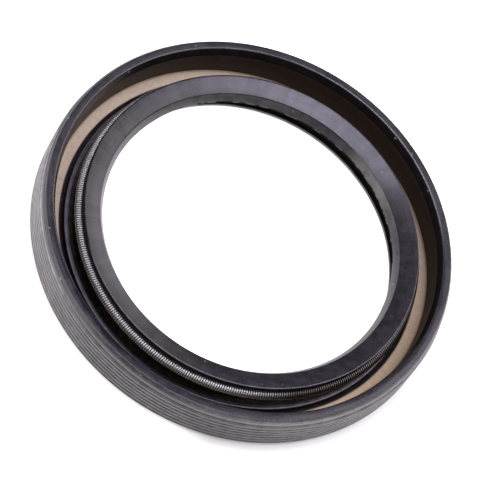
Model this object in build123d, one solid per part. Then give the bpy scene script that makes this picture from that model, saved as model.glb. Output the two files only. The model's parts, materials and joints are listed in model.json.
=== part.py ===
from build123d import *
from math import cos, degrees, radians, sin, tan
import os

# Radial shaft seal for a 50 mm shaft in a 68 mm housing bore, 8 mm wide.
# The seal lies on its closed back face. +Z is the shaft axis and points to the open
# side, where the garter spring shows. Each section is drawn as (radius, height) and
# turned about Z. All sizes are millimetres.

# Interfaces: the depth of the section makes the outside diameter 68 mm
lip_diameter = 48.0
section_depth = 10.0
width = 8.0

# Steel case: a cylindrical wall and a flat radial web
case_thickness = 1.0
case_inside_bend = 0.3
jacket_thickness = 1.4
back_cover = 0.75
front_cover = 1.4

# Rubber jacket on the outside diameter
back_chamfer_length = 0.8
back_chamfer_depth = 0.8
groove_pitch = 0.835
groove_width = 0.46
groove_depth = 0.36
least_crest = 0.1
front_land_length = 0.96
front_land_depth = 0.25
front_land_edge = 0.15
front_chamfer_length = 0.6
front_chamfer_depth = 0.4
front_face_width = 1.25
front_outer_edge = 0.1
front_inner_edge = 0.3

# Sealing lip
contact_height = 5.35
contact_land = 0.3
oil_flank_rise = 1.25
oil_flank_angle = 30.0
head_face_width = 3.0
head_face_rise = 0.85
head_fold_edge = 0.2
head_edge = 0.12
head_undercut = 0.3
air_root_offset = 1.72
air_root_rise = 0.7
air_root_edge = 0.25

# Pumping ribs on the air side of the lip, in groups of a long, a middle and a short one
rib_group_count = 19
rib_sizes = [1.0, 0.72, 0.45]
rib_length = 4.2
rib_slope = 20.0
rib_height = 0.26
rib_start_height = 0.02
rib_start_gap = 0.12
rib_width = 0.55
rib_root = 0.25

# Garter spring and its seat in the lip
spring_tube_diameter = 1.6
spring_offset = 3.7
spring_lead = 0.13
spring_clearance = 0.02
spring_toe = 0.42

# Flexible arm, bead, recess and dust lip
arm_waist_offset = 3.0
arm_waist_height = 3.0
arm_waist_edge = 0.3
channel_floor = 1.6
channel_edge = 0.35
bead_offset = 4.25
bead_width = 0.62
bead_height = 2.3
bead_edge = 0.2
recess_width = 0.65
recess_floor = 0.95
web_end_skin = 0.15
dust_lip_offset = 1.25
dust_lip_height = 1.4
dust_lip_land = 0.5
dust_lip_root_rise = 0.4
dust_lip_depth = 1.3
dust_lip_edge = 0.2
back_face_offset = 3.3

lip_radius = lip_diameter / 2
outside_radius = lip_radius + section_depth
dust_lip_radius = lip_radius + dust_lip_offset
dust_lip_top = dust_lip_height + dust_lip_land
contact_top = contact_height + contact_land
air_root_radius = lip_radius + air_root_offset
air_root_height = dust_lip_top + air_root_rise

case_outer_radius = outside_radius - jacket_thickness
case_inner_radius = case_outer_radius - case_thickness
web_top = back_cover + case_thickness
case_top = width - front_cover

spring_radius = spring_tube_diameter / 2
spring_circle_radius = lip_radius + spring_offset
spring_height = contact_height + spring_lead

bead_inner_radius = lip_radius + bead_offset
bead_outer_radius = bead_inner_radius + bead_width
recess_outer_radius = bead_outer_radius + recess_width
web_inner_radius = recess_outer_radius + web_end_skin


def outline_face(corners):
    """Face of a closed outline whose corners are (radius, height, edge radius)."""
    points = [(radius, height) for radius, height, edge in corners]
    edges = [edge for radius, height, edge in corners]
    return make_face(FilletPolyline(points, radius=edges, close=True))


def turned(section):
    return revolve(Plane.XZ * section, axis=Axis.Z)


def case_section():
    """The wall and the web of the pressed steel ring, with its bend between them."""
    outside_bend = case_inside_bend + case_thickness
    return outline_face(
        [
            (web_inner_radius, back_cover, 0),
            (case_outer_radius, back_cover, outside_bend),
            (case_outer_radius, case_top, 0),
            (case_inner_radius, case_top, 0),
            (case_inner_radius, web_top, case_inside_bend),
            (web_inner_radius, web_top, 0),
        ]
    )


def jacket_corners():
    """Back chamfer, the crests between their grooves, and the lower plain land."""
    groove_radius = outside_radius - groove_depth
    land_radius = outside_radius - front_land_depth
    land_top = width - front_chamfer_length
    land_foot = land_top - front_land_length
    lowest_edge = back_chamfer_length + least_crest
    groove_count = 1 + int((land_foot - groove_width - lowest_edge) / groove_pitch)
    first_edge = land_foot - groove_width - (groove_count - 1) * groove_pitch
    corners = [
        (outside_radius - back_chamfer_depth, 0, 0),
        (outside_radius, back_chamfer_length, 0),
    ]
    for index in range(groove_count):
        edge = first_edge + index * groove_pitch
        corners.append((outside_radius, edge, 0))
        corners.append((groove_radius, edge + groove_width / 2, 0))
        if index < groove_count - 1:
            corners.append((outside_radius, edge + groove_width, 0))
    corners.append((land_radius, land_foot, 0))
    corners.append((land_radius, land_top, front_land_edge))
    return corners


def rim_corners():
    """Flat front face and the rounded edge that falls to the top of the steel wall."""
    face_outer = outside_radius - front_land_depth - front_chamfer_depth
    return [
        (face_outer, width, front_outer_edge),
        (face_outer - front_face_width, width, front_inner_edge),
        (case_inner_radius, case_top, 0),
    ]


def web_corners():
    """Inside the steel from its wall to the end of its web, then the recess and the bead."""
    inside_wall = case_outer_radius - case_thickness / 2
    inside_web = back_cover + case_thickness / 2
    return [
        (inside_wall, case_top, 0),
        (inside_wall, inside_web, 0),
        (web_inner_radius, inside_web, 0),
        (web_inner_radius, web_top, 0),
        (recess_outer_radius, web_top, 0),
        (recess_outer_radius, recess_floor, 0),
        (bead_outer_radius, recess_floor, 0),
        (bead_outer_radius, bead_height, bead_edge),
        (bead_inner_radius, bead_height, bead_edge),
    ]


def arm_corners():
    """Channel floor and the waist of the arm, up to the toe below the spring."""
    waist_radius = lip_radius + arm_waist_offset
    toe_radius = spring_circle_radius - spring_toe
    return [
        (bead_inner_radius, channel_floor, channel_edge / 2),
        (waist_radius, channel_floor, channel_edge),
        (waist_radius, arm_waist_height, arm_waist_edge),
        (toe_radius, spring_height - spring_radius, 0),
    ]


def lip_corners():
    """Undercut wall above the spring, sloping face, oil flank and the land on the shaft."""
    fold_radius = lip_radius + oil_flank_rise * tan(radians(oil_flank_angle))
    fold_height = contact_top + oil_flank_rise
    top_radius = fold_radius + head_face_width
    top_height = fold_height + head_face_rise
    return [
        (top_radius - head_undercut, spring_height, 0),
        (top_radius, top_height, head_edge),
        (fold_radius, fold_height, head_fold_edge),
        (lip_radius, contact_top, 0),
        (lip_radius, contact_height, 0),
    ]


def air_side_corners():
    """Air flank down to its root, then the dust lip and the slope to the back face."""
    return [
        (air_root_radius, air_root_height, air_root_edge),
        (air_root_radius + air_root_edge, dust_lip_top + dust_lip_root_rise, air_root_edge),
        (dust_lip_radius, dust_lip_top, 0),
        (dust_lip_radius, dust_lip_height, 0),
        (dust_lip_radius + dust_lip_depth, dust_lip_height / 2, dust_lip_edge),
        (lip_radius + back_face_offset, 0, 0),
    ]


def body_section():
    """The moulded rubber: its envelope less the steel and the seat of the spring."""
    envelope = outline_face(
        jacket_corners()
        + rim_corners()
        + web_corners()
        + arm_corners()
        + lip_corners()
        + air_side_corners()
    )
    seat = Pos(spring_circle_radius, spring_height) * Circle(spring_radius + spring_clearance)
    return envelope - case_section() - seat


def rib_face(size, share):
    """Cut through a rib at a share of its length: a triangle whose base is in the flank."""
    run = rib_length * size * share
    drop = rib_start_gap + run * sin(radians(rib_slope))
    turn = degrees(run * cos(radians(rib_slope)) / lip_radius)
    height = rib_start_height + (rib_height * size - rib_start_height) * share
    half_width = rib_width * height / rib_height / 2
    flank_lean = air_root_offset / (contact_height - air_root_height)
    flank_radius = lip_radius + drop * flank_lean
    middle = contact_height - drop
    triangle = Polyline(
        (flank_radius - height, middle),
        (flank_radius + rib_root, middle - half_width),
        (flank_radius + rib_root, middle + half_width),
        close=True,
    )
    return Rot(Z=turn) * (Plane.XZ * make_face(triangle))


def pumping_ribs():
    """Ribs that rise from the contact edge down the air flank and end in a step."""
    pitch = 360 / (rib_group_count * len(rib_sizes))
    ribs = []
    for group in PolarLocations(0, rib_group_count):
        for place, size in enumerate(rib_sizes):
            rib = loft([rib_face(size, share) for share in (0, 0.5, 1)], ruled=True)
            ribs.append(group * Rot(Z=-place * pitch) * rib)
    return ribs


def garter_spring():
    """The coil's outer form as one closed ring: its wire turns touch all the way round."""
    return Pos(0, 0, spring_height) * Torus(spring_circle_radius, spring_radius)


os.makedirs("parts", exist_ok=True)
export_step(turned(case_section()), "parts/case_ring.step")
export_step(turned(body_section()) + pumping_ribs(), "parts/seal_body.step")
export_step(garter_spring(), "parts/garter_spring.step")
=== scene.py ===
import json
import math

import bmesh
import bpy
from mathutils import Matrix, Vector


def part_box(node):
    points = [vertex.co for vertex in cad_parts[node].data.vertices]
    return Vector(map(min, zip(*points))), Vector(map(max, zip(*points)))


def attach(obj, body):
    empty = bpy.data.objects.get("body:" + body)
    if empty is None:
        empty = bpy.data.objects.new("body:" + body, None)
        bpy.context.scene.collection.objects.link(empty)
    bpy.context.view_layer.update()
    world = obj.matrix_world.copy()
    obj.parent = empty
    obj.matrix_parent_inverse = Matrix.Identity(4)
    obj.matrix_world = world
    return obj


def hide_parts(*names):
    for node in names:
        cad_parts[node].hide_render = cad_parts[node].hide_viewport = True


mm = 0.001

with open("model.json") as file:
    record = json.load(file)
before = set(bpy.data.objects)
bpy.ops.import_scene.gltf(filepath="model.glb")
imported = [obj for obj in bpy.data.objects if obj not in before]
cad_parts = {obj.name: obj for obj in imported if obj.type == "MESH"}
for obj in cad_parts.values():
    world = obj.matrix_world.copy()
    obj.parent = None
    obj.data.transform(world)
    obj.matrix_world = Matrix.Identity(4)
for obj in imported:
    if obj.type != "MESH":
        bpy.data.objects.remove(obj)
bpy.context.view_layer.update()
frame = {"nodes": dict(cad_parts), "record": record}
print("frame: loaded", sorted(frame["nodes"]))

# what the frame says about the seal, in millimetres
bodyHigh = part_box("seal_body")[1] / mm
caseLow, caseHigh = (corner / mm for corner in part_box("case_ring"))
coilLow, coilHigh = (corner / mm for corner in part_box("garter_spring"))
mounts = {mount["name"]: mount for mount in frame["record"]["mounts"]}
lipRadius = mounts["shaft_bore"]["dims"]["r_mm"]
outsideRadius = bodyHigh.x
sealWidth = bodyHigh.z
caseOuter = caseHigh.x
caseTop = caseHigh.z
backCover = caseLow.z
coilRadius = (coilHigh.z - coilLow.z) / 2
coilHeight = (coilHigh.z + coilLow.z) / 2
coilCircle = coilHigh.x - coilRadius

# the free lip hangs a little towards +X: nothing moves below the first height, all above the second
lipDrift = {"shift": 0.42, "fixedBelow": 1.9, "wholeAbove": 4.4, "pastSpring": 0.5}


def smoothstep(low, high, value):
    share = min(max((value - low) / (high - low), 0.0), 1.0)
    return share * share * (3 - 2 * share)


def cornerTurn(before, corner, after):
    inward = (Vector(corner[:2]) - Vector(before[:2])).normalized()
    outward = (Vector(after[:2]) - Vector(corner[:2])).normalized()
    return inward.angle(outward)


def roundCorners(bm, corners, verts, segments):
    # each corner is (radius, height, edge radius); the tangent length gives the bevel's offset
    count = len(corners)
    for index, corner in enumerate(corners):
        if corner[2] == 0:
            continue
        turn = cornerTurn(corners[index - 1], corner, corners[(index + 1) % count])
        bmesh.ops.bevel(
            bm,
            geom=[verts[index]],
            offset=corner[2] * math.tan(turn / 2) * mm,
            offset_type="OFFSET",
            segments=segments,
            profile=0.5,
            affect="VERTICES",
            material=-1,
        )


def turnedRing(name, corners, steps=360, segments=4):
    # a closed outline of (radius, height, edge radius), rounded and spun about the shaft axis
    bm = bmesh.new()
    verts = [bm.verts.new((radius * mm, 0, height * mm)) for radius, height, edge in corners]
    bm.faces.new(verts)
    roundCorners(bm, corners, verts, segments)
    bmesh.ops.delete(bm, geom=bm.faces[:], context="FACES_ONLY")
    bmesh.ops.remove_doubles(bm, verts=bm.verts[:], dist=0.002 * mm)
    bmesh.ops.spin(
        bm,
        geom=bm.verts[:] + bm.edges[:],
        cent=(0, 0, 0),
        axis=(0, 0, 1),
        dvec=(0, 0, 0),
        angle=2 * math.pi,
        steps=steps,
        use_merge=True,
    )
    driftLip(bm)
    return finishedPiece(name, bm)


def driftLip(bm):
    # only what lies just past the spring, or nearer the shaft, moves: the jacket and the steel stay
    for vert in bm.verts:
        radius = math.hypot(vert.co.x, vert.co.y) / mm
        if radius < coilCircle + coilRadius + lipDrift["pastSpring"]:
            lean = smoothstep(lipDrift["fixedBelow"], lipDrift["wholeAbove"], vert.co.z / mm)
            vert.co.x += lipDrift["shift"] * lean * mm


def finishedPiece(name, bm, sharpAngle=30):
    bmesh.ops.recalc_face_normals(bm, faces=bm.faces[:])
    for face in bm.faces:
        face.smooth = True
    mesh = bpy.data.meshes.new(name)
    bm.to_mesh(mesh)
    bm.free()
    mesh.set_sharp_from_angle(angle=math.radians(sharpAngle))
    piece = bpy.data.objects.new(name, mesh)
    bpy.context.scene.collection.objects.link(piece)
    return piece


# rubber: one moulding from the ribbed jacket in to the lips
rubber = {
    "backChamfer": 0.8,
    "groovePitch": 0.835,
    "grooveWidth": 0.46,
    "grooveDepth": 0.36,
    "landLength": 0.96,
    "landDepth": 0.25,
    "chamferLength": 0.6,
    "chamferDepth": 0.4,
    "faceWidth": 1.25,
    "contactHeight": 5.35,
    "contactLand": 0.3,
    "oilRise": 1.25,
    "oilAngle": 30.0,
    "headWidth": 3.0,
    "headRise": 0.85,
    "headUndercut": 0.3,
    "rootOffset": 1.72,
    "rootHeight": 2.6,
    "rootRun": 0.25,
    "rootRise": 0.4,
    "seatClearance": 0.02,
    "seatToe": 0.42,
    "seatSteps": 12,
    "waistOffset": 3.0,
    "waistHeight": 3.0,
    "channelFloor": 1.6,
    "beadOffset": 4.25,
    "beadWidth": 0.62,
    "beadHeight": 2.3,
    "recessWidth": 0.65,
    "recessFloor": 0.95,
    "webSkin": 0.15,
    "dustOffset": 1.25,
    "dustHeight": 1.4,
    "dustLand": 0.5,
    "dustDepth": 1.3,
    "backOffset": 3.3,
}

# edge radii of the same section
rubberEdges = {
    "backFace": 0.12,
    "backChamfer": 0.06,
    "crest": 0.05,
    "land": 0.16,
    "rimOuter": 0.12,
    "rimInner": 0.3,
    "webEnd": 0.03,
    "recess": 0.1,
    "bead": 0.2,
    "channel": 0.17,
    "waistFoot": 0.35,
    "waist": 0.3,
    "head": 0.12,
    "fold": 0.2,
    "contact": 0.03,
    "root": 0.25,
    "dustLip": 0.04,
    "dustSlope": 0.2,
    "backLip": 0.1,
}

steel = {"thickness": 1.0, "insideBend": 0.3}
caseInner = caseOuter - steel["thickness"]
webTop = backCover + steel["thickness"]
outsideBend = steel["insideBend"] + steel["thickness"]

# radii and heights of the section that the corners and the finishes share
landRadius = outsideRadius - rubber["landDepth"]
landTop = sealWidth - rubber["chamferLength"]
landFoot = landTop - rubber["landLength"]
faceOuter = landRadius - rubber["chamferDepth"]
faceInner = faceOuter - rubber["faceWidth"]
beadInner = lipRadius + rubber["beadOffset"]
beadOuter = beadInner + rubber["beadWidth"]
recessOuter = beadOuter + rubber["recessWidth"]
webInner = recessOuter + rubber["webSkin"]
waistRadius = lipRadius + rubber["waistOffset"]
contactHeight = rubber["contactHeight"]
contactTop = contactHeight + rubber["contactLand"]
foldRadius = lipRadius + rubber["oilRise"] * math.tan(math.radians(rubber["oilAngle"]))
foldHeight = contactTop + rubber["oilRise"]
headRadius = foldRadius + rubber["headWidth"]
headHeight = foldHeight + rubber["headRise"]
rootRadius = lipRadius + rubber["rootOffset"]
flankLean = rubber["rootOffset"] / (contactHeight - rubber["rootHeight"])
dustRadius = lipRadius + rubber["dustOffset"]
backInner = lipRadius + rubber["backOffset"]
dustTop = rubber["dustHeight"] + rubber["dustLand"]


def jacketCorners():
    edge = rubberEdges["crest"]
    last = landFoot - rubber["grooveWidth"]
    count = 1 + int((last - rubber["backChamfer"]) / rubber["groovePitch"])
    first = last - (count - 1) * rubber["groovePitch"]
    grooveRadius = outsideRadius - rubber["grooveDepth"]
    corners = [
        (outsideRadius - rubber["backChamfer"], 0, rubberEdges["backFace"]),
        (outsideRadius, rubber["backChamfer"], rubberEdges["backChamfer"]),
    ]
    for index in range(count):
        start = first + index * rubber["groovePitch"]
        corners.append((outsideRadius, start, edge))
        corners.append((grooveRadius, start + rubber["grooveWidth"] / 2, edge))
        if index < count - 1:
            corners.append((outsideRadius, start + rubber["grooveWidth"], edge))
    corners.append((landRadius, landFoot, edge))
    corners.append((landRadius, landTop, rubberEdges["land"]))
    return corners


def rimCorners():
    return [
        (faceOuter, sealWidth, rubberEdges["rimOuter"]),
        (faceInner, sealWidth, rubberEdges["rimInner"]),
        (caseInner, caseTop, 0),
        (caseOuter, caseTop, 0),
    ]


def coverCorners():
    # round the outside of the steel, then its web's end, the recess, the bead and the channel
    return [
        (caseOuter, backCover, outsideBend),
        (webInner, backCover, 0),
        (webInner, webTop, 0),
        (recessOuter, webTop, rubberEdges["webEnd"]),
        (recessOuter, rubber["recessFloor"], rubberEdges["recess"]),
        (beadOuter, rubber["recessFloor"], rubberEdges["recess"]),
        (beadOuter, rubber["beadHeight"], rubberEdges["bead"]),
        (beadInner, rubber["beadHeight"], rubberEdges["bead"]),
        (beadInner, rubber["channelFloor"], rubberEdges["channel"]),
        (waistRadius, rubber["channelFloor"], rubberEdges["waistFoot"]),
        (waistRadius, rubber["waistHeight"], rubberEdges["waist"]),
    ]


def seatCorners():
    # the seat that holds the spring, from its toe up to the wall above it
    radius = coilRadius + rubber["seatClearance"]
    start = math.atan2(-coilRadius, -rubber["seatToe"]) % (2 * math.pi)
    wallFoot = headRadius - rubber["headUndercut"]
    lean = math.atan(rubber["headUndercut"] / (headHeight - coilHeight))
    end = math.acos((wallFoot - coilCircle) * math.cos(lean) / radius) - lean
    corners = []
    for index in range(rubber["seatSteps"] + 1):
        angle = start + (end - start) * index / rubber["seatSteps"]
        away = coilCircle + radius * math.cos(angle)
        corners.append((away, coilHeight + radius * math.sin(angle), 0))
    return corners


def lipCorners():
    return [
        (headRadius, headHeight, rubberEdges["head"]),
        (foldRadius, foldHeight, rubberEdges["fold"]),
        (lipRadius, contactTop, rubberEdges["contact"]),
        (lipRadius, contactHeight, rubberEdges["contact"]),
        (rootRadius, rubber["rootHeight"], rubberEdges["root"]),
        (rootRadius + rubber["rootRun"], dustTop + rubber["rootRise"], rubberEdges["root"]),
        (dustRadius, dustTop, rubberEdges["dustLip"]),
        (dustRadius, rubber["dustHeight"], rubberEdges["dustLip"]),
        (dustRadius + rubber["dustDepth"], rubber["dustHeight"] / 2, rubberEdges["dustSlope"]),
        (backInner, 0, rubberEdges["backLip"]),
    ]


def buildSealBody():
    corners = jacketCorners() + rimCorners() + coverCorners() + seatCorners() + lipCorners()
    piece = turnedRing("sealBody", corners)
    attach(piece, "root")
    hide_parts("seal_body")
    return piece


# pumping ribs: groups of a long, a middle and a short rib on the air flank
pumpRibs = {
    "groups": 19,
    "sizes": (1.0, 0.72, 0.45),
    "length": 4.2,
    "slope": 20.0,
    "height": 0.26,
    "startHeight": 0.02,
    "startGap": 0.12,
    "width": 0.55,
    "root": 0.25,
    "steps": 6,
}


def ribTriangle(bm, size, share, turnOffset):
    run = pumpRibs["length"] * size * share
    drop = pumpRibs["startGap"] + run * math.sin(math.radians(pumpRibs["slope"]))
    turn = run * math.cos(math.radians(pumpRibs["slope"])) / lipRadius + turnOffset
    endHeight = pumpRibs["height"] * size
    height = pumpRibs["startHeight"] + (endHeight - pumpRibs["startHeight"]) * share
    halfWidth = pumpRibs["width"] * height / pumpRibs["height"] / 2
    flankRadius = lipRadius + drop * flankLean
    middle = contactHeight - drop
    points = (
        (flankRadius - height, middle),
        (flankRadius + pumpRibs["root"], middle - halfWidth),
        (flankRadius + pumpRibs["root"], middle + halfWidth),
    )
    turned = Matrix.Rotation(turn, 4, "Z")
    verts = [bm.verts.new(turned @ Vector((away * mm, 0, level * mm))) for away, level in points]
    return [bm.edges.new((verts[index], verts[index - 1])) for index in range(3)]


def buildPumpingRibs():
    bm = bmesh.new()
    count = pumpRibs["groups"] * len(pumpRibs["sizes"])
    pitch = 2 * math.pi / count
    for number in range(count):
        size = pumpRibs["sizes"][number % len(pumpRibs["sizes"])]
        loops = [
            ribTriangle(bm, size, step / pumpRibs["steps"], -number * pitch)
            for step in range(pumpRibs["steps"] + 1)
        ]
        for nearer, farther in zip(loops, loops[1:]):
            bmesh.ops.bridge_loops(bm, edges=nearer + farther)
        for end in (loops[0], loops[-1]):
            bmesh.ops.edgeloop_fill(bm, edges=end)
    driftLip(bm)
    piece = finishedPiece("pumpingRibs", bm)
    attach(piece, "root")
    return piece


def buildCaseRing():
    corners = [
        (webInner, backCover, 0),
        (caseOuter, backCover, outsideBend),
        (caseOuter, caseTop, 0),
        (caseInner, caseTop, 0),
        (caseInner, webTop, steel["insideBend"]),
        (webInner, webTop, 0),
    ]
    piece = turnedRing("caseRing", corners)
    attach(piece, "root")
    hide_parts("case_ring")
    return piece


# garter spring: a close coil of thin wire, bent into a ring
spring = {"turns": 455, "wireRadius": 0.18, "pointsPerTurn": 16, "wireSteps": 2}


def buildGarterSpring():
    curve = bpy.data.curves.new("springWire", "CURVE")
    curve.dimensions = "3D"
    curve.bevel_depth = spring["wireRadius"] * mm
    curve.bevel_resolution = spring["wireSteps"]
    curve.use_fill_caps = False
    count = spring["turns"] * spring["pointsPerTurn"]
    wire = curve.splines.new("POLY")
    wire.points.add(count - 1)
    wire.use_cyclic_u = True
    coil = coilRadius - spring["wireRadius"]
    for index in range(count):
        around = 2 * math.pi * index / count
        twist = 2 * math.pi * index / spring["pointsPerTurn"]
        reach = coilCircle + coil * math.cos(twist)
        wire.points[index].co = (
            reach * math.cos(around) * mm,
            reach * math.sin(around) * mm,
            (coilHeight + coil * math.sin(twist)) * mm,
            1,
        )
    maker = bpy.data.objects.new("springMaker", curve)
    bpy.context.scene.collection.objects.link(maker)
    shape = maker.evaluated_get(bpy.context.evaluated_depsgraph_get())
    bm = bmesh.new()
    bm.from_mesh(shape.to_mesh())
    shape.to_mesh_clear()
    bpy.data.objects.remove(maker)
    bmesh.ops.remove_doubles(bm, verts=bm.verts[:], dist=0.001 * mm)
    driftLip(bm)
    piece = finishedPiece("garterSpring", bm, 80)
    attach(piece, "root")
    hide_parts("garter_spring")
    return piece


sealBody = buildSealBody()
print("sealBody:", len(sealBody.data.polygons), "faces")
pumpingRibs = buildPumpingRibs()
print("pumpingRibs:", len(pumpingRibs.data.polygons), "faces")
caseRing = buildCaseRing()
print("caseRing:", len(caseRing.data.polygons), "faces")
garterSpring = buildGarterSpring()
print("garterSpring:", len(garterSpring.data.polygons), "faces")


class Signal:
    # one socket's value, with arithmetic that adds Math nodes

    def __init__(self, finish, socket):
        self.finish = finish
        self.socket = socket

    def math(self, operation, first, second=0.0):
        inputs = {0: first, 1: second}
        return self.finish.add("ShaderNodeMath", {"operation": operation}, inputs)["Value"]

    def __add__(self, other):
        return self.math("ADD", self, other)

    def __radd__(self, other):
        return self.math("ADD", other, self)

    def __sub__(self, other):
        return self.math("SUBTRACT", self, other)

    def __rsub__(self, other):
        return self.math("SUBTRACT", other, self)

    def __mul__(self, other):
        return self.math("MULTIPLY", self, other)

    def __rmul__(self, other):
        return self.math("MULTIPLY", other, self)

    def __truediv__(self, other):
        return self.math("DIVIDE", self, other)

    def __rtruediv__(self, other):
        return self.math("DIVIDE", other, self)

    def __abs__(self):
        return self.math("ABSOLUTE", self)

    def root(self):
        return self.math("SQRT", self)

    def least(self, other):
        return self.math("MINIMUM", self, other)

    def rise(self, low, high):
        # 0 below low, 1 above high, smooth between
        settings = {"interpolation_type": "SMOOTHSTEP"}
        inputs = {"Value": self, "From Min": low, "From Max": high, "To Min": 0.0, "To Max": 1.0}
        return self.finish.add("ShaderNodeMapRange", settings, inputs)["Result"]

    def fall(self, low, high):
        return 1 - self.rise(low, high)

    def band(self, low, high, soft):
        return self.rise(low - soft, low + soft) * self.fall(high - soft, high + soft)


class Placed:
    # a node whose outputs are read by name

    def __init__(self, finish, node):
        self.finish = finish
        self.node = node

    def __getitem__(self, name):
        return Signal(self.finish, self.node.outputs[name])


class Finish:
    # one material, built up from its shader

    def __init__(self, name):
        self.material = bpy.data.materials.new(name)
        self.material.use_nodes = True
        self.tree = self.material.node_tree
        self.tree.nodes.clear()
        self.place()

    def add(self, kind, settings=None, inputs=None):
        node = self.tree.nodes.new(kind)
        for key, value in (settings or {}).items():
            setattr(node, key, value)
        for key, value in (inputs or {}).items():
            if isinstance(value, Signal):
                self.tree.links.new(value.socket, node.inputs[key])
            else:
                node.inputs[key].default_value = value
        return Placed(self, node)

    def place(self):
        # position in millimetres; reach is the radius about the lip's own, drifted centre
        self.spot = self.scaled(self.add("ShaderNodeTexCoord")["Object"], 1 / mm)
        parts = self.add("ShaderNodeSeparateXYZ", {}, {0: self.spot})
        self.x = parts["X"]
        self.y = parts["Y"]
        self.height = parts["Z"]
        self.radius = (self.x * self.x + self.y * self.y).root()
        lean = self.height.rise(lipDrift["fixedBelow"], lipDrift["wholeAbove"])
        driftedX = self.x - lean * lipDrift["shift"]
        self.reach = (driftedX * driftedX + self.y * self.y).root()

    def facing(self, azimuth, halfWidth, core=0):
        # 1 within the core on both sides of an azimuth round the ring, 0 beyond the half width
        turn = math.radians(azimuth)
        along = (self.x * math.cos(turn) + self.y * math.sin(turn)) / self.radius
        return along.rise(math.cos(math.radians(halfWidth)), math.cos(math.radians(core)))

    def around(self, alongScale, acrossScale):
        # coordinates stretched round the ring: few features along it, many across it
        return self.add(
            "ShaderNodeCombineXYZ",
            {},
            {
                0: self.x / self.radius * (alongScale * lipRadius),
                1: self.y / self.radius * (alongScale * lipRadius),
                2: (self.height + self.radius * 0.7) * acrossScale,
            },
        )["Vector"]

    def noise(self, vector, scale, detail, roughness=0.5):
        inputs = {"Vector": vector, "Scale": scale, "Detail": detail, "Roughness": roughness}
        return self.add("ShaderNodeTexNoise", {}, inputs)["Fac"]

    def dots(self, scale, low, high):
        # scattered small dots, 1 in the middle of each
        cells = self.add("ShaderNodeTexVoronoi", {}, {"Vector": self.spot, "Scale": scale})
        return cells["Distance"].fall(low, high)

    def nearby(self, centre, size):
        # 1 at a point on the surface, falling to 0 at a distance from it
        settings = {"operation": "DISTANCE"}
        distance = self.add("ShaderNodeVectorMath", settings, {0: self.spot, 1: centre})["Value"]
        return distance.fall(size * 0.4, size)

    def blend(self, share, first, second):
        settings = {"data_type": "RGBA", "blend_type": "MIX", "clamp_factor": True}
        node = self.add("ShaderNodeMix", settings, {0: share}).node
        for socket, colour in ((node.inputs[6], first), (node.inputs[7], second)):
            if isinstance(colour, Signal):
                self.tree.links.new(colour.socket, socket)
            else:
                socket.default_value = (*colour, 1.0)
        return Signal(self, node.outputs[2])

    def scaled(self, vector, amount):
        # a position or a colour, times a value
        inputs = {0: vector, "Scale": amount}
        return self.add("ShaderNodeVectorMath", {"operation": "SCALE"}, inputs)["Vector"]

    def bump(self, height, distance, strength):
        inputs = {"Height": height, "Distance": distance * mm, "Strength": strength}
        return self.add("ShaderNodeBump", {}, inputs)["Normal"]

    def gloss(self, inputs):
        return self.add("ShaderNodeBsdfPrincipled", {}, inputs)["BSDF"]

    def surface(self, shader):
        self.add("ShaderNodeOutputMaterial", {}, {"Surface": shader})
        return self.material


# tones of the one moulded rubber by zone; besides its own colour they carry painted light and
# shade: grooves paler than the crests and a paler first groove offset the grooves' shade, pale rib,
# land, rim-edge, bead-edge and lip-corner tones are painted light and painted highlights, the dark
# lip-wall and air-side tones are painted shade, and the cream flank tone is a painted reflection
rubberLook = {
    "deep": (0.016, 0.0135, 0.0125),
    "groove": (0.25, 0.242, 0.245),
    "crest": (0.066, 0.0645, 0.065),
    "firstGroove": (0.08, 0.077, 0.078),
    "paleRib": (0.22, 0.215, 0.218),
    "paleEdge": (0.45, 0.44, 0.445),
    "land": (0.052, 0.0495, 0.051),
    "landTop": (0.016, 0.015, 0.016),
    "chamfer": (0.04, 0.0385, 0.041),
    "rimFace": (0.013, 0.012, 0.0155),
    "rimEdge": (0.075, 0.072, 0.08),
    "rimDust": (0.05, 0.047, 0.052),
    "cover": (0.008, 0.0065, 0.0065),
    "rust": (0.1, 0.08, 0.068),
    "skin": (0.07, 0.064, 0.062),
    "recess": (0.02, 0.017, 0.016),
    "bead": (0.035, 0.0335, 0.036),
    "beadEdge": (0.24, 0.232, 0.245),
    "channel": (0.085, 0.07, 0.064),
    "lipFace": (0.02, 0.0185, 0.022),
    "lipEdge": (0.08, 0.077, 0.083),
    "lipWall": (0.011, 0.0105, 0.0105),
    "flank": (0.04, 0.039, 0.04),
    "flankStain": (0.17, 0.165, 0.145),
    "airSide": (0.006, 0.0055, 0.0055),
    "dustLip": (0.14, 0.138, 0.14),
    "speck": (0.17, 0.17, 0.175),
}

# pale specks on the rubber: angle round the ring, radius, height and size
specks = (
    (69.5, 32.0, 7.65, 0.3),
    (63.0, 32.5, 8.0, 0.35),
    (51.0, 32.0, 7.75, 0.25),
    (62.0, 26.3, 7.3, 0.25),
    (101.5, 24.3, 6.4, 0.2),
    (17.0, 24.7, 6.3, 0.3),
    (3.4, 28.1, 7.7, 0.22),
    (303.5, 27.2, 7.55, 0.18),
    (310.5, 27.1, 7.5, 0.16),
    (322.0, 33.75, 6.95, 0.2),
    (320.0, 34.0, 5.75, 0.25),
    (136.0, 32.8, 8.0, 0.2),
    (150.0, 33.3, 8.0, 0.2),
    (159.0, 32.0, 7.65, 0.3),
    (184.0, 33.4, 7.9, 0.35),
    (219.5, 33.25, 8.0, 0.25),
    (234.0, 33.75, 7.4, 0.4),
    (268.0, 33.7, 7.4, 0.4),
    (285.0, 33.75, 6.6, 0.3),
    (283.0, 25.4, 7.1, 0.22),
    (265.0, 27.1, 7.6, 0.2),
    (247.0, 34.0, 2.4, 0.35),
)


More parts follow.
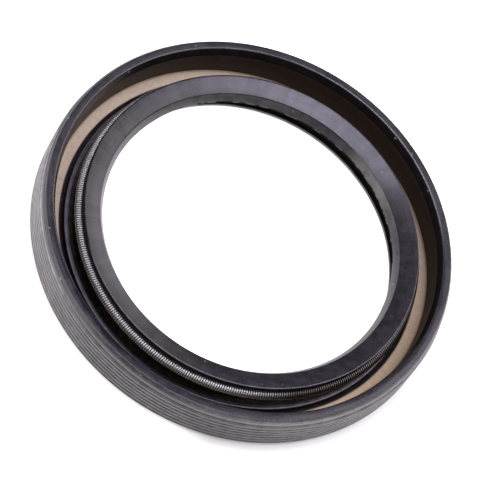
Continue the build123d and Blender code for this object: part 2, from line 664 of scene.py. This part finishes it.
class RubberZones:
    # masks for the parts of the moulding, each 1 on its part and 0 elsewhere;
    # the small offsets, in millimetres, set where each begins and ends past a corner

    def __init__(self, finish):
        self.radius = finish.radius
        self.reach = finish.reach
        self.height = finish.height
        self.side = finish.facing
        self.markJacket()
        self.markRim()
        self.markCover()
        self.markLip()
        self.markAirSide()

    def markJacket(self):
        plain = self.radius.rise(landRadius - 0.15, landRadius - 0.1)
        belowLand = self.height.fall(landFoot - 0.02, landFoot + 0.02)
        self.ribbed = self.radius.rise(faceOuter - 0.05, faceOuter + 0.05) * belowLand
        self.crests = self.radius.rise(outsideRadius - 0.2, outsideRadius - 0.04)
        self.firstGroove = self.ribbed * self.height.rise(landFoot - 0.39, landFoot - 0.29)
        self.land = plain * self.height.rise(landFoot - 0.06, landFoot - 0.02)
        self.landTop = plain * self.height.band(landTop - 0.35, landTop - 0.02, 0.05)

    def markRim(self):
        outer = self.radius.rise(faceInner - 0.2, faceInner)
        # edge and line mark painted highlights along the rim's inner rounding and its outer corner
        edge = self.radius.band(faceInner + 0.06, faceInner + 0.24, 0.03)
        edge = edge * self.height.rise(sealWidth - 0.1, sealWidth - 0.06)
        line = self.radius.band(faceOuter - 0.08, faceOuter + 0.08, 0.02)
        line = line * self.height.rise(sealWidth - 0.16, sealWidth - 0.12)
        fold = self.radius.band(caseInner + 0.1, faceInner + 0.06, 0.04)
        self.chamfer = outer * self.height.rise(landTop - 0.38, landTop - 0.28)
        self.rimFace = self.height.rise(sealWidth - 0.07, sealWidth - 0.02)
        self.rimEdge = edge * self.side(135, 105, 88)
        self.rimOuterHighlight = line * self.side(278, 45, 20)
        self.rimFold = fold * self.height.rise(sealWidth - 0.6, sealWidth - 0.5)

    def markCover(self):
        onWeb = self.height.band(webTop - 0.1, webTop + 0.15, 0.03)
        belowWeb = self.height.fall(webTop - 0.15, webTop - 0.05)
        onBead = self.height.rise(rubber["beadHeight"] - 0.26, rubber["beadHeight"] - 0.18)
        fromCrest = abs(self.radius - (beadInner + beadOuter) / 2)
        aboveSteel = self.height.rise(caseTop - 0.2, caseTop)
        self.cover = self.radius.band(caseInner - 0.4, faceInner, 0.05) * aboveSteel
        self.skin = self.radius.band(recessOuter - 0.02, webInner + 0.03, 0.03) * onWeb
        self.recess = self.radius.band(beadOuter + 0.03, recessOuter - 0.02, 0.04) * belowWeb
        self.bead = self.radius.band(beadInner - 0.05, beadOuter + 0.08, 0.05) * onBead
        # painted highlights on the bead's two rounded edges
        self.beadEdge = self.bead * fromCrest.band(0.18, 0.27, 0.02)
        upToBead = self.reach.band(waistRadius - 0.4, beadInner - 0.05, 0.04)
        belowSpring = self.height.fall(rubber["waistHeight"] + 1.4, rubber["waistHeight"] + 1.8)
        self.channel = upToBead * belowSpring

    def markLip(self):
        onHead = self.height.rise(foldHeight - 0.1, foldHeight)
        onEdge = self.height.rise(headHeight - 0.25, headHeight - 0.19)
        onWall = self.height.band(contactTop + 0.25, headHeight - 0.23, 0.05)
        onFold = self.height.rise(foldHeight - 0.2, foldHeight - 0.1)
        outerPart = self.reach.rise(headRadius - 0.24, headRadius - 0.14)
        self.lipFace = self.reach.band(foldRadius, headRadius - 0.02, 0.06) * onHead
        # a painted highlight on the lip's rounded outer corner
        self.lipEdge = outerPart * self.reach.fall(headRadius + 0.06, headRadius + 0.12) * onEdge
        # painted shade on the lip's outer wall, its corner, a patch of the face round 206° and the
        # fold's crease
        wall = self.reach.band(headRadius - 0.37, headRadius + 0.18, 0.05) * onWall
        line = self.reach.band(headRadius - 0.28, headRadius + 0.28, 0.06) * onEdge
        shadow = self.lipFace * self.reach.rise(headRadius - 0.47, headRadius - 0.17)
        crease = self.reach.band(foldRadius - 0.06, foldRadius + 0.08, 0.03) * onFold
        dark = wall + line * self.side(140, 90, 80) * 0.8 + shadow * self.side(206, 26, 6) * 0.5
        self.shadedLip = (dark + crease * self.side(128, 62, 40) * 0.6).least(1.0)

    def markAirSide(self):
        onFlank = self.height.rise(contactTop - 0.1, contactTop)
        onAirSide = self.height.band(dustTop - 0.2, contactHeight - 0.05, 0.05)
        onDustLip = self.height.band(rubber["dustHeight"] - 0.05, dustTop + 0.05, 0.05)
        onContact = self.height.band(contactHeight - 0.07, contactTop + 0.03, 0.03)
        flankRadius = (contactHeight - self.height) * flankLean + lipRadius
        aboveFlank = (flankRadius - self.reach).rise(0.02, 0.05)
        self.flank = self.reach.fall(foldRadius - 0.05, foldRadius + 0.05) * onFlank
        # the air side below the contact edge is painted as shade
        self.airSide = self.reach.fall(waistRadius - 0.4, waistRadius - 0.2) * onAirSide
        self.dustLip = self.reach.fall(dustRadius + 0.07, dustRadius + 0.17) * onDustLip
        self.contact = self.reach.fall(lipRadius + 0.08, lipRadius + 0.12) * onContact
        onRibs = self.height.band(contactHeight - 0.55, contactHeight - 0.05, 0.03)
        self.ribCrest = aboveFlank * onRibs


def rubberColour(finish, zones):
    # each row paints over the ones above it; side(azimuth, half width, core) picks a stretch
    side = finish.facing
    # grooves painted paler round 240°: painted light
    litHollows = zones.ribbed * (1 - zones.crests) * (1 - zones.firstGroove) * side(240, 17, 6) * 0.4
    outerRim = finish.radius.rise(faceInner + 0.3, faceOuter - 0.05)
    rimHaze = side(332, 48, 10) * outerRim * 1.6 + side(15, 45) * 0.2
    bevelHaze = zones.chamfer * (1 - zones.rimFace) * side(238, 40) * 0.5
    layers = (
        (zones.ribbed * zones.crests, "crest"),
        (zones.firstGroove, "firstGroove"),
        (zones.land, "land"),
        (zones.chamfer, "chamfer"),
        (zones.landTop, "landTop"),
        (zones.cover, "cover"),
        (zones.cover * (side(183, 26) * 0.8 + side(335, 30) * 0.35), "rust"),
        (zones.rimFace, "rimFace"),
        # painted highlights along the rim's inner and outer edges, brightest on the far side
        (zones.rimEdge, "rimEdge"),
        (zones.rimEdge * side(65, 45) * 0.5, "groove"),
        (zones.rimOuterHighlight, "rimEdge"),
        # painted shade on the air side
        (zones.airSide, "airSide"),
        (zones.dustLip, "dustLip"),
        (zones.flank + zones.ribCrest, "flank"),
        # a painted reflection: a pale cream patch on the flank round 62°
        (zones.flank * side(62, 16, 4) * 0.45, "flankStain"),
        (zones.lipFace, "lipFace"),
        # a painted highlight on the lip's outer corner, then painted shade on its wall, corner and
        # crease
        (zones.lipEdge * side(312, 90, 78), "lipEdge"),
        (zones.shadedLip, "lipWall"),
        (zones.channel, "channel"),
        (zones.recess, "recess"),
        (zones.bead, "bead"),
        # painted highlights on the bead's edges, and the bead paler round 225° and 335° as painted
        # light
        (zones.beadEdge, "beadEdge"),
        (zones.bead * (side(225, 40) + side(335, 40)) * 0.5, "beadEdge"),
        (zones.skin * side(320, 60), "skin"),
        (zones.rimFace * rimHaze + bevelHaze, "rimDust"),
        # painted light: ribs paler round 188° and 345°, grooves round 240°, a painted highlight on
        # the first groove round 206° and the land paler round 335°; the land darker round 190° is
        # painted shade
        (zones.ribbed * (side(188, 52, 8) * 0.66 + side(345, 50) * 0.3), "paleRib"),
        (litHollows + zones.firstGroove * side(206, 40, 12), "paleEdge"),
        (zones.land * side(190, 40, 15) * 0.55, "landTop"),
        (zones.land * side(335, 60) * 0.4, "paleRib"),
    )
    # the ribs start from the pale groove tone: painted light that offsets the shade in the grooves
    colour = finish.blend(zones.ribbed, rubberLook["deep"], rubberLook["groove"])
    for mask, name in layers:
        colour = finish.blend(mask, colour, rubberLook[name])
    return colour


def paleDust(finish, smooth):
    # fine dots over the smooth parts, and the specks with ragged outlines
    ragged = finish.noise(finish.spot, 5.0, 2.0).rise(0.4, 0.6)
    dust = finish.dots(0.6, 0.02, 0.045) * smooth * 0.4
    for angle, away, level, size in specks:
        turn = math.radians(angle)
        centre = (away * math.cos(turn), away * math.sin(turn), level)
        dust = dust + finish.nearby(centre, size) * ragged
    return dust.least(1.0)


def grimeAndShade(finish, zones, blotch, fine):
    # the matt shader's share: grease and dust take some sheen off the rubber at random; painted
    # shade takes it off the channel, the recess, the air side, the lip's wall, broken stretches of
    # the contact edge and chosen stretches round the ring
    side = finish.facing
    radius = finish.radius
    streak = finish.noise(finish.around(0.25, 2.2), 1.0, 3.0, 0.6).rise(0.42, 0.66)
    smudge = finish.noise(finish.around(1.1, 0.12), 0.5, 3.0, 0.6).rise(0.4, 0.62)
    shadeBreaks = finish.noise(finish.around(1.0, 0.0), 0.55, 2.0).rise(0.46, 0.52)
    coverShare = 0.9 - side(182, 34) * 0.7 - side(335, 30) * 0.4
    lipShare = side(26, 36) * 0.55 + streak * 0.1 + smudge * 0.14 + fine * 0.1
    rimShare = blotch * 0.26 + streak * 0.3 + fine * 0.2
    rimShare = rimShare + side(278, 48) * 0.32 + side(92, 50) * 0.12
    rimShare = rimShare + radius.fall(faceInner + 0.2, faceInner + 0.8) * side(4, 40, 10) * 0.4
    rimShare = rimShare + radius.fall(faceInner + 0.4, faceInner + 0.85) * side(238, 32, 10) * 0.4
    flankShare = side(315, 60) * 0.3 + side(96, 45) * 0.5
    total = zones.channel + zones.recess + zones.airSide * (1 - zones.ribCrest)
    # patches of painted shade break the contact edge's sheen
    total = total + zones.contact * (0.35 + shadeBreaks * 0.65)
    total = total + zones.shadedLip * 0.8 + zones.landTop * 0.4
    total = total + (zones.cover + zones.rimFold).least(1.0) * coverShare
    total = total + zones.lipFace * lipShare + zones.rimFace * rimShare + zones.flank * flankShare
    total = total + (zones.land + zones.chamfer * (1 - zones.rimFace)) * side(170, 35) * 0.35
    return total.least(1.0)


def rubberFinish():
    finish = Finish("mouldedRubber")
    zones = RubberZones(finish)
    smooth = zones.rimFace + zones.lipFace + zones.chamfer
    cloud = finish.noise(finish.around(0.35, 0.5), 0.8, 3.0)
    blotch = finish.noise(finish.spot, 0.75, 1.5).rise(0.36, 0.64)
    grain = finish.noise(finish.spot, 3.2, 3.0, 0.6)
    fine = finish.noise(finish.spot, 7.0, 2.0)
    speckle = finish.noise(finish.spot, 5.5, 2.0).rise(0.3, 0.7) - 0.5
    shade = 0.66 + cloud * 0.35 + fine * 0.16 + (blotch - 0.5) * 0.3
    colour = finish.scaled(rubberColour(finish, zones), shade * (1 + smooth * speckle * 0.7))
    inputs = {
        "Base Color": finish.blend(paleDust(finish, smooth), colour, rubberLook["speck"]),
        "Roughness": 0.25 + grain * 0.06 + blotch * 0.05 + zones.rimFace * 0.18 + zones.cover * 0.1,
        "Normal": finish.bump(grain, 0.004, 0.5),
    }
    clean = finish.gloss({**inputs, "Specular IOR Level": 0.5})
    matt = finish.gloss({**inputs, "Specular IOR Level": 0.0})
    shares = {0: grimeAndShade(finish, zones, blotch, fine), 1: clean, 2: matt}
    return finish.surface(finish.add("ShaderNodeMixShader", {}, shares)["Shader"])


caseLook = {
    "web": (0.52, 0.435, 0.3),
    "tanWeb": (0.54, 0.425, 0.25),
    "wall": (0.0185, 0.0102, 0.0068),
    "wallTop": (0.014, 0.0095, 0.0075),
    "rust": (0.03, 0.014, 0.008),
    "stain": (0.2, 0.13, 0.08),
}


def caseFinish():
    finish = Finish("coatedSteel")
    radius = finish.radius
    side = finish.facing
    wall = finish.height.rise(webTop + 0.02, webTop + 0.25)
    mottle = finish.noise(finish.spot, 0.9, 4.0, 0.6)
    fine = finish.noise(finish.spot, 4.5, 3.0, 0.7).rise(0.3, 0.7)
    streak = finish.noise(finish.around(0.3, 2.0), 1.0, 3.0, 0.6).rise(0.4, 0.65)
    upTheWall = finish.height.rise(caseTop - 1.6, caseTop - 0.4)
    wallColour = finish.blend(upTheWall, caseLook["wall"], caseLook["wallTop"])
    wallColour = finish.blend(streak * 0.6, wallColour, caseLook["rust"])
    webColour = finish.blend(side(350, 70), caseLook["web"], caseLook["tanWeb"])
    colour = finish.blend(wall, webColour, wallColour)
    # painted shade along the web's outer edge at the wall's bend and its inner edge by the recess,
    # in the same tone as the real pits
    edge = radius.rise(caseInner - 0.45, caseInner - 0.1) * (1 - wall)
    edge = edge + radius.fall(webInner + 0.01, webInner + 0.13)
    pits = finish.dots(0.5, 0.03, 0.06) * (1 - wall)
    colour = finish.blend((edge * 0.55 + pits * 0.6).least(1.0), colour, caseLook["stain"])
    # the web is painted darker round 35° as painted shade, and the wall paler round 75° as painted
    # light
    shade = 0.62 + mottle * 0.34 + fine * 0.24 - side(35, 75) * 0.09 * (1 - wall)
    inputs = {
        "Base Color": finish.scaled(colour, shade + side(75, 65) * 0.5 * wall),
        "Roughness": 0.62 - wall * 0.2 + mottle * 0.06,
        "Specular IOR Level": 0.25,
    }
    return finish.surface(finish.gloss(inputs))


wireLook = {"bright": (0.78, 0.77, 0.76), "dull": (0.13, 0.115, 0.105), "gap": (0.02, 0.017, 0.015)}


def springFinish():
    # bright only on the outside of the coil: painted shade darkens the gaps between the turns and
    # some stretches round the ring
    finish = Finish("drawnWire")
    across = finish.reach - coilCircle
    upward = finish.height - coilHeight
    depth = (across * across + upward * upward).root()
    crest = depth.rise(coilRadius - 0.16, coilRadius - 0.01)
    smear = finish.noise(finish.spot, 1.6, 2.0)
    shadedStretches = finish.facing(348, 60) * 1.3 + finish.facing(85, 60) + finish.facing(258, 42) * 0.14
    colour = finish.blend(shadedStretches.least(1.0), wireLook["bright"], wireLook["dull"])
    colour = finish.blend(1 - crest, colour, wireLook["gap"])
    inputs = {"Base Color": colour, "Metallic": 1.0, "Roughness": 0.42 + smear * 0.1}
    return finish.surface(finish.gloss(inputs))


def dress(piece, material):
    piece.data.materials.clear()
    piece.data.materials.append(material)


mouldedRubber = rubberFinish()
coatedSteel = caseFinish()
drawnWire = springFinish()
dress(sealBody, mouldedRubber)
dress(pumpingRibs, mouldedRubber)
dress(caseRing, coatedSteel)
dress(garterSpring, drawnWire)
for nodeName, material in (
    ("seal_body", mouldedRubber),
    ("case_ring", coatedSteel),
    ("garter_spring", drawnWire),
):
    dress(frame["nodes"][nodeName], material)
print("finishes: rubber, coated steel, drawn wire")


# floor: pale paper with a glow of its own; the extra glow inside the ring's hole and round its
# outside is painted light that washes out the seal's shadow there, and on one side the glow is
# turned down and the paper darkened as a painted soft shadow;
# the shadow's side is an azimuth, a half width and a core, in degrees
paper = {
    "size": 3.0,
    "colour": (0.93, 0.945, 0.89),
    "glow": 0.25,
    "insideGlow": 0.7,
    "outsideGlow": 0.5,
    "shade": 0.08,
    "haze": 0.2,
    "shadowSide": (332, 56, 38),
}


def buildFloor():
    bm = bmesh.new()
    bmesh.ops.create_grid(bm, x_segments=1, y_segments=1, size=paper["size"])
    mesh = bpy.data.meshes.new("paleFloor")
    bm.to_mesh(mesh)
    bm.free()
    floor = bpy.data.objects.new("paleFloor", mesh)
    bpy.context.scene.collection.objects.link(floor)
    finish = Finish("palePaper")
    radius = finish.radius
    shadowSide = finish.facing(*paper["shadowSide"])
    shaded = shadowSide * radius.fall(outsideRadius + 0.2, outsideRadius + 7.0)
    haze = shadowSide * radius.fall(outsideRadius, outsideRadius + 3.2)
    inside = radius.fall(backInner - 0.8, backInner)
    outside = radius.rise(outsideRadius - 1.0, outsideRadius + 0.5) * (1 - shaded)
    glow = paper["glow"] + inside * paper["insideGlow"] + outside * paper["outsideGlow"]
    inputs = {
        "Base Color": finish.scaled(paper["colour"], 1 - haze * paper["haze"]),
        "Roughness": 0.9,
        "Specular IOR Level": 0.0,
        "Emission Color": finish.scaled((1.0, 1.0, 1.0), glow - shaded * paper["shade"]),
        "Emission Strength": 1.0,
    }
    dress(floor, finish.surface(finish.gloss(inputs)))


# each panel: azimuth and elevation it shines from, distance, width, height, watts, colour
panels = {
    "overhead": (75, 84, 1.0, 0.6, 0.6, 8.5, (0.98, 0.905, 1.13)),
    "rightHigh": (22, 53, 1.0, 0.75, 0.4, 3.4, (1.0, 0.965, 0.99)),
    "rightLow": (69, 28, 1.0, 0.5, 0.6, 3.7, (1.0, 0.965, 0.99)),
    "leftSide": (202, 22, 1.0, 1.5, 0.65, 8.4, (1.0, 0.965, 0.99)),
    "front": (318, 21, 1.0, 1.1, 0.4, 3.3, (1.0, 0.965, 0.99)),
}


def buildPanel(name, azimuth, elevation, distance, width, height, watts, colour):
    light = bpy.data.lights.new(name, "AREA")
    light.shape = "RECTANGLE"
    light.size = width
    light.size_y = height
    light.energy = watts
    light.color = colour
    lamp = bpy.data.objects.new(name, light)
    bpy.context.scene.collection.objects.link(lamp)
    turn = math.radians(azimuth)
    tilt = math.radians(elevation)
    flat = math.cos(tilt)
    towards = Vector((math.cos(turn) * flat, math.sin(turn) * flat, math.sin(tilt)))
    lamp.rotation_mode = "QUATERNION"
    lamp.rotation_quaternion = towards.to_track_quat("Z", "Y")
    lamp.location = towards * distance


sky = {"colour": (1.0, 1.0, 1.0), "strength": 0.02}


def buildSky():
    world = bpy.data.worlds.new("studio")
    world.use_nodes = True
    background = world.node_tree.nodes["Background"]
    background.inputs["Color"].default_value = (*sky["colour"], 1.0)
    background.inputs["Strength"].default_value = sky["strength"]
    bpy.context.scene.world = world


# camera, in degrees and millimetres: it looks along +Y and down, rolled about its own axis
view = {
    "elevation": 56.69,
    "roll": -34.14,
    "distance": 661.1,
    "lens": 313.0,
    "aimHeight": 0.3,
    "shiftRight": 0.564,
    "shiftUp": 1.399,
}


def buildCamera():
    tilt = math.radians(view["elevation"])
    roll = math.radians(view["roll"])
    level = Vector((1, 0, 0))
    forward = Vector((0, math.cos(tilt), -math.sin(tilt)))
    upright = Vector((0, math.sin(tilt), math.cos(tilt)))
    right = math.cos(roll) * level - math.sin(roll) * upright
    up = math.sin(roll) * level + math.cos(roll) * upright
    aim = Vector((0, 0, view["aimHeight"])) + right * view["shiftRight"] + up * view["shiftUp"]
    spot = (aim - forward * view["distance"]) * mm
    data = bpy.data.cameras.new("mainView")
    data.lens = view["lens"]
    data.sensor_width = 36.0
    data.clip_start = 0.05
    data.clip_end = 20.0
    camera = bpy.data.objects.new("mainView", data)
    bpy.context.scene.collection.objects.link(camera)
    turn = Matrix((right, up, -forward)).transposed().to_4x4()
    camera.matrix_world = Matrix.Translation(spot) @ turn
    bpy.context.scene.camera = camera


buildFloor()
for name, values in panels.items():
    buildPanel(name, *values)
buildSky()
buildCamera()
bpy.context.scene.view_settings.view_transform = "Standard"
print("stage: floor, panels, camera")
